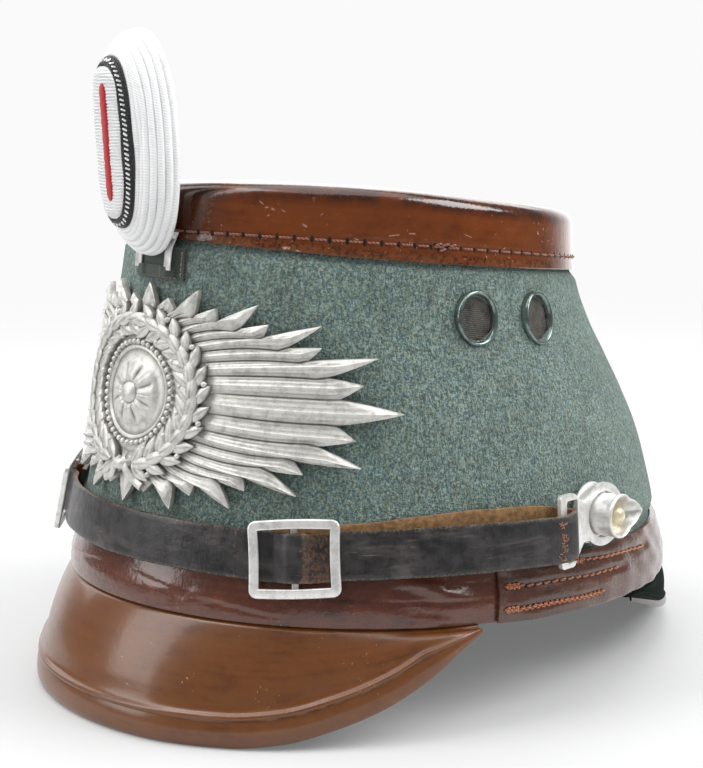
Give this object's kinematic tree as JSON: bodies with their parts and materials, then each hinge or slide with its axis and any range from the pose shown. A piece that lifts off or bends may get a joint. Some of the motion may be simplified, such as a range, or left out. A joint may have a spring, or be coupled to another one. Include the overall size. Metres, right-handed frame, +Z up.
{
  "type": "shako hat",
  "caption": "Stiff felt shako cap with a glossy leather lid, front and neck peaks, side vents, rayed front badge, upright oval cockade and buckled chin strap.",
  "frame": {"origin": "on the surface that the hat rests on, under the middle of its length and width", "axes": "+Z up, -Y to the front (the badge and the large peak), +X to the wearer's left, +Y to the neck peak"},
  "size_m": [0.1912, 0.2303, 0.196],
  "materials": {
    "felt": "matte melange wool felt, field grey-green",
    "lid_leather": "high gloss lacquered brown leather",
    "band_leather": "glossy dark red-brown leather",
    "rear_leather": "semi-gloss dark brown leather",
    "peak_leather": "high gloss brown leather",
    "strap_leather": "worn black leather, brown where rubbed",
    "cast_aluminium": "matte aluminium",
    "vent_metal": "satin grey-green lacquer on steel",
    "vent_gauze": "dark fine gauze",
    "silver_thread": "silver bullion thread",
    "black_cord": "twisted black cord with silver flecks",
    "red_thread": "red cloth",
    "green_cloth": "dark green cloth"
  },
  "bodies": {
    "root": {"chin_strap": "strap_leather", "cockade_bar": "red_thread", "cockade_body": "silver_thread", "cockade_centre": "silver_thread", "cockade_pocket": "green_cloth", "cockade_prong": "cast_aluminium", "cockade_ring": "black_cord", "crown_lid": "lid_leather", "felt_body": "felt", "front_badge": "cast_aluminium", "front_band": "band_leather", "front_peak": "peak_leather", "neck_peak": "peak_leather", "rear_band": "rear_leather", "side_post_left": "cast_aluminium", "side_post_right": "cast_aluminium", "slide_buckle_left": "cast_aluminium", "slide_buckle_right": "cast_aluminium", "strap_end_left": "cast_aluminium", "strap_end_right": "cast_aluminium", "vent_mesh_front_left": "vent_gauze", "vent_mesh_front_right": "vent_gauze", "vent_mesh_rear_left": "vent_gauze", "vent_mesh_rear_right": "vent_gauze", "vent_ring_front_left": "vent_metal", "vent_ring_front_right": "vent_metal", "vent_ring_rear_left": "vent_metal", "vent_ring_rear_right": "vent_metal"}
  },
  "joints": []
}
